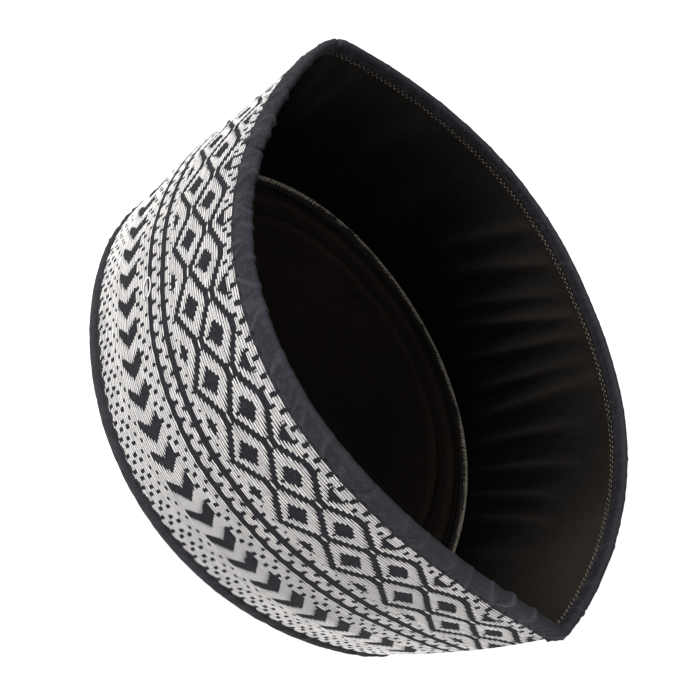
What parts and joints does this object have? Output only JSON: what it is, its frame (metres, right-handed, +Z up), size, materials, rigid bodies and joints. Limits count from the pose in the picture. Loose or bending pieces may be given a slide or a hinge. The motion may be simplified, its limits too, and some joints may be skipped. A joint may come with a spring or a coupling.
{
  "type": "kufi cap",
  "caption": "Brimless kufi cap: embroidered cotton wall on a flat oval crown, taped rim with two soft corners, lined inside, standing open end up.",
  "frame": {"origin": "middle of the bounding box at its bottom, on the plane of the crown's flat outer face", "axes": "+Z up from the crown to the open rim, +X along the longer axis towards one soft corner of the rim, -Y the side that the picture shows"},
  "size_m": [0.2148, 0.1938, 0.091],
  "materials": {
    "crown_cotton": "plain charcoal cotton, slightly quilted",
    "piping_cotton": "charcoal cotton strip, overcast along its edge",
    "crown_lining_cotton": "brown-black cotton, softly wrinkled",
    "overcast_seam": "cotton edges overcast with grey-beige thread",
    "embroidered_cotton": "off-white embroidery thread over charcoal cotton",
    "wall_lining_cotton": "black-brown cotton with soft folds",
    "binding_tape": "charcoal bias tape, lightly puckered"
  },
  "bodies": {
    "root": {"crown_panel": "crown_cotton", "crown_piping": "piping_cotton", "crown_lining": "crown_lining_cotton", "crown_seam_allowance": "overcast_seam", "band": "embroidered_cotton", "band_lining": "wall_lining_cotton", "rim_binding": "binding_tape"}
  },
  "joints": []
}
